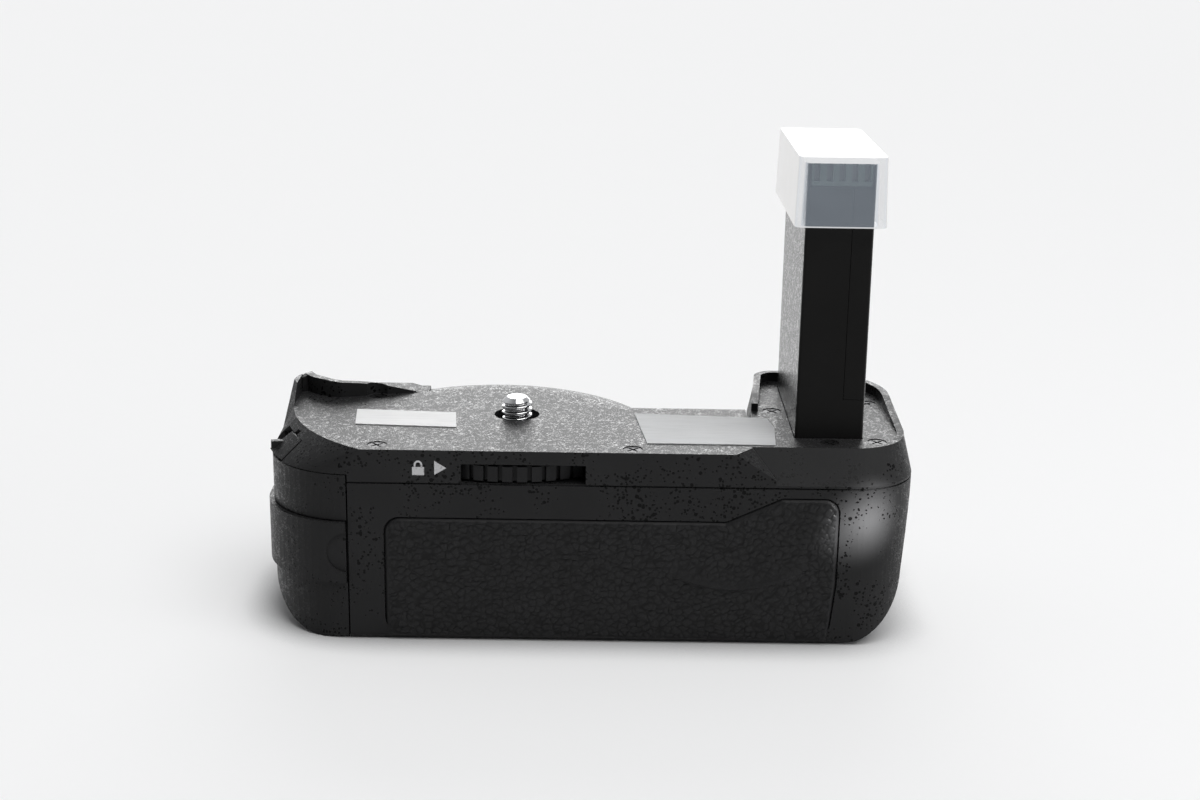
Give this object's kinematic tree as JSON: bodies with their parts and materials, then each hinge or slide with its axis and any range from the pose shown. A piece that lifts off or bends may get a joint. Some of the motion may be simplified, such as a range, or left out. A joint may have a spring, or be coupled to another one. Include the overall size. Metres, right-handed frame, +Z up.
{
  "type": "camera battery grip",
  "caption": "Vertical battery grip for a small camera: two-part black housing with a drawer for batteries, a ridged thumb wheel on the camera screw and a tall capped contact plug.",
  "frame": {"origin": "on the base face, below the camera screw", "axes": "+X along the grip to its hand end, +Y to the lens side, +Z up along the camera screw"},
  "size_m": [0.1344, 0.0581, 0.0981],
  "materials": {
    "housing_plastic": "moulded black with a fine spatter texture",
    "cover_plastic": "moulded black with a fine spatter texture",
    "grip_rubber": "black with a leather grain",
    "plug_plastic": "smooth satin black",
    "insulator": "satin",
    "contact_brass": "satin",
    "steel": "satin",
    "black_screw": "black, satin",
    "wheel_plastic": "satin black",
    "bright_screw": "bright plated",
    "frosted_cap": "frosted translucent",
    "button_plastic": "polished black",
    "board_laminate": "green laminate",
    "silver_label": "bare satin film",
    "grey_label": "bare satin film"
  },
  "bodies": {
    "housing": {"main_housing": "housing_plastic", "tray_deck": "housing_plastic", "top_cover": "cover_plastic", "rear_grip_pad": "grip_rubber", "lobe_grip_pad": "grip_rubber", "tripod_socket": "steel", "plug_shell": "plug_plastic", "plug_side_cover": "plug_plastic", "plug_contact_block": "insulator", "plug_contacts": "contact_brass", "cover_screws": "black_screw", "wheel_bush": "contact_brass", "release_switch": "insulator", "release_board": "board_laminate", "release_screws": "steel", "terminal_block": "insulator", "terminal_springs": "contact_brass", "control_board": "board_laminate", "control_chip": "insulator", "board_screws": "steel", "small_label": "silver_label", "large_label": "grey_label"},
    "wheel": {"lock_wheel": "wheel_plastic", "camera_screw": "bright_screw"},
    "cap": {"protective_cap": "frosted_cap"},
    "tray": {"tray_frame": "plug_plastic", "tray_end_cap": "housing_plastic", "tray_screws": "steel", "tray_contacts": "contact_brass", "flap_pin": "steel"},
    "flap": {"pull_flap": "housing_plastic"},
    "lock": {"tray_lock": "wheel_plastic"},
    "button": {"shutter_button": "button_plastic"},
    "ring": {"shutter_lock_ring": "wheel_plastic"}
  },
  "joints": [
    {"name": "wheel_turn", "type": "hinge", "parent": "housing", "child": "wheel", "pos_m": [0, 0, 0.0357], "axis": [0, 0, 1], "continuous": true},
    {"name": "cap_lift", "type": "slide", "parent": "housing", "child": "cap", "axis": [0, 0, 1], "range_m": [0, 0.03]},
    {"name": "tray_slide", "type": "slide", "parent": "housing", "child": "tray", "axis": [-1, 0, 0], "range_m": [0, 0.055]},
    {"name": "flap_swing", "type": "hinge", "parent": "tray", "child": "flap", "pos_m": [-0.0484, 0.009, 0.0188], "axis": [0, 0, -1], "range_deg": [0, 70]},
    {"name": "lock_slide", "type": "hinge", "parent": "housing", "child": "lock", "pos_m": [-0.0321, -0.0075, 0.0367], "axis": [0, 0, -1], "range_deg": [0, 12]},
    {"name": "shutter_press", "type": "slide", "parent": "housing", "child": "button", "axis": [-0.866, -0.5, 0], "range_m": [0, 0.001], "stiffness_N_per_m": 400},
    {"name": "shutter_lock", "type": "hinge", "parent": "housing", "child": "ring", "pos_m": [0.07899, 0.022, 0.017], "axis": [0.866, 0.5, 0], "range_deg": [0, 30]}
  ]
}
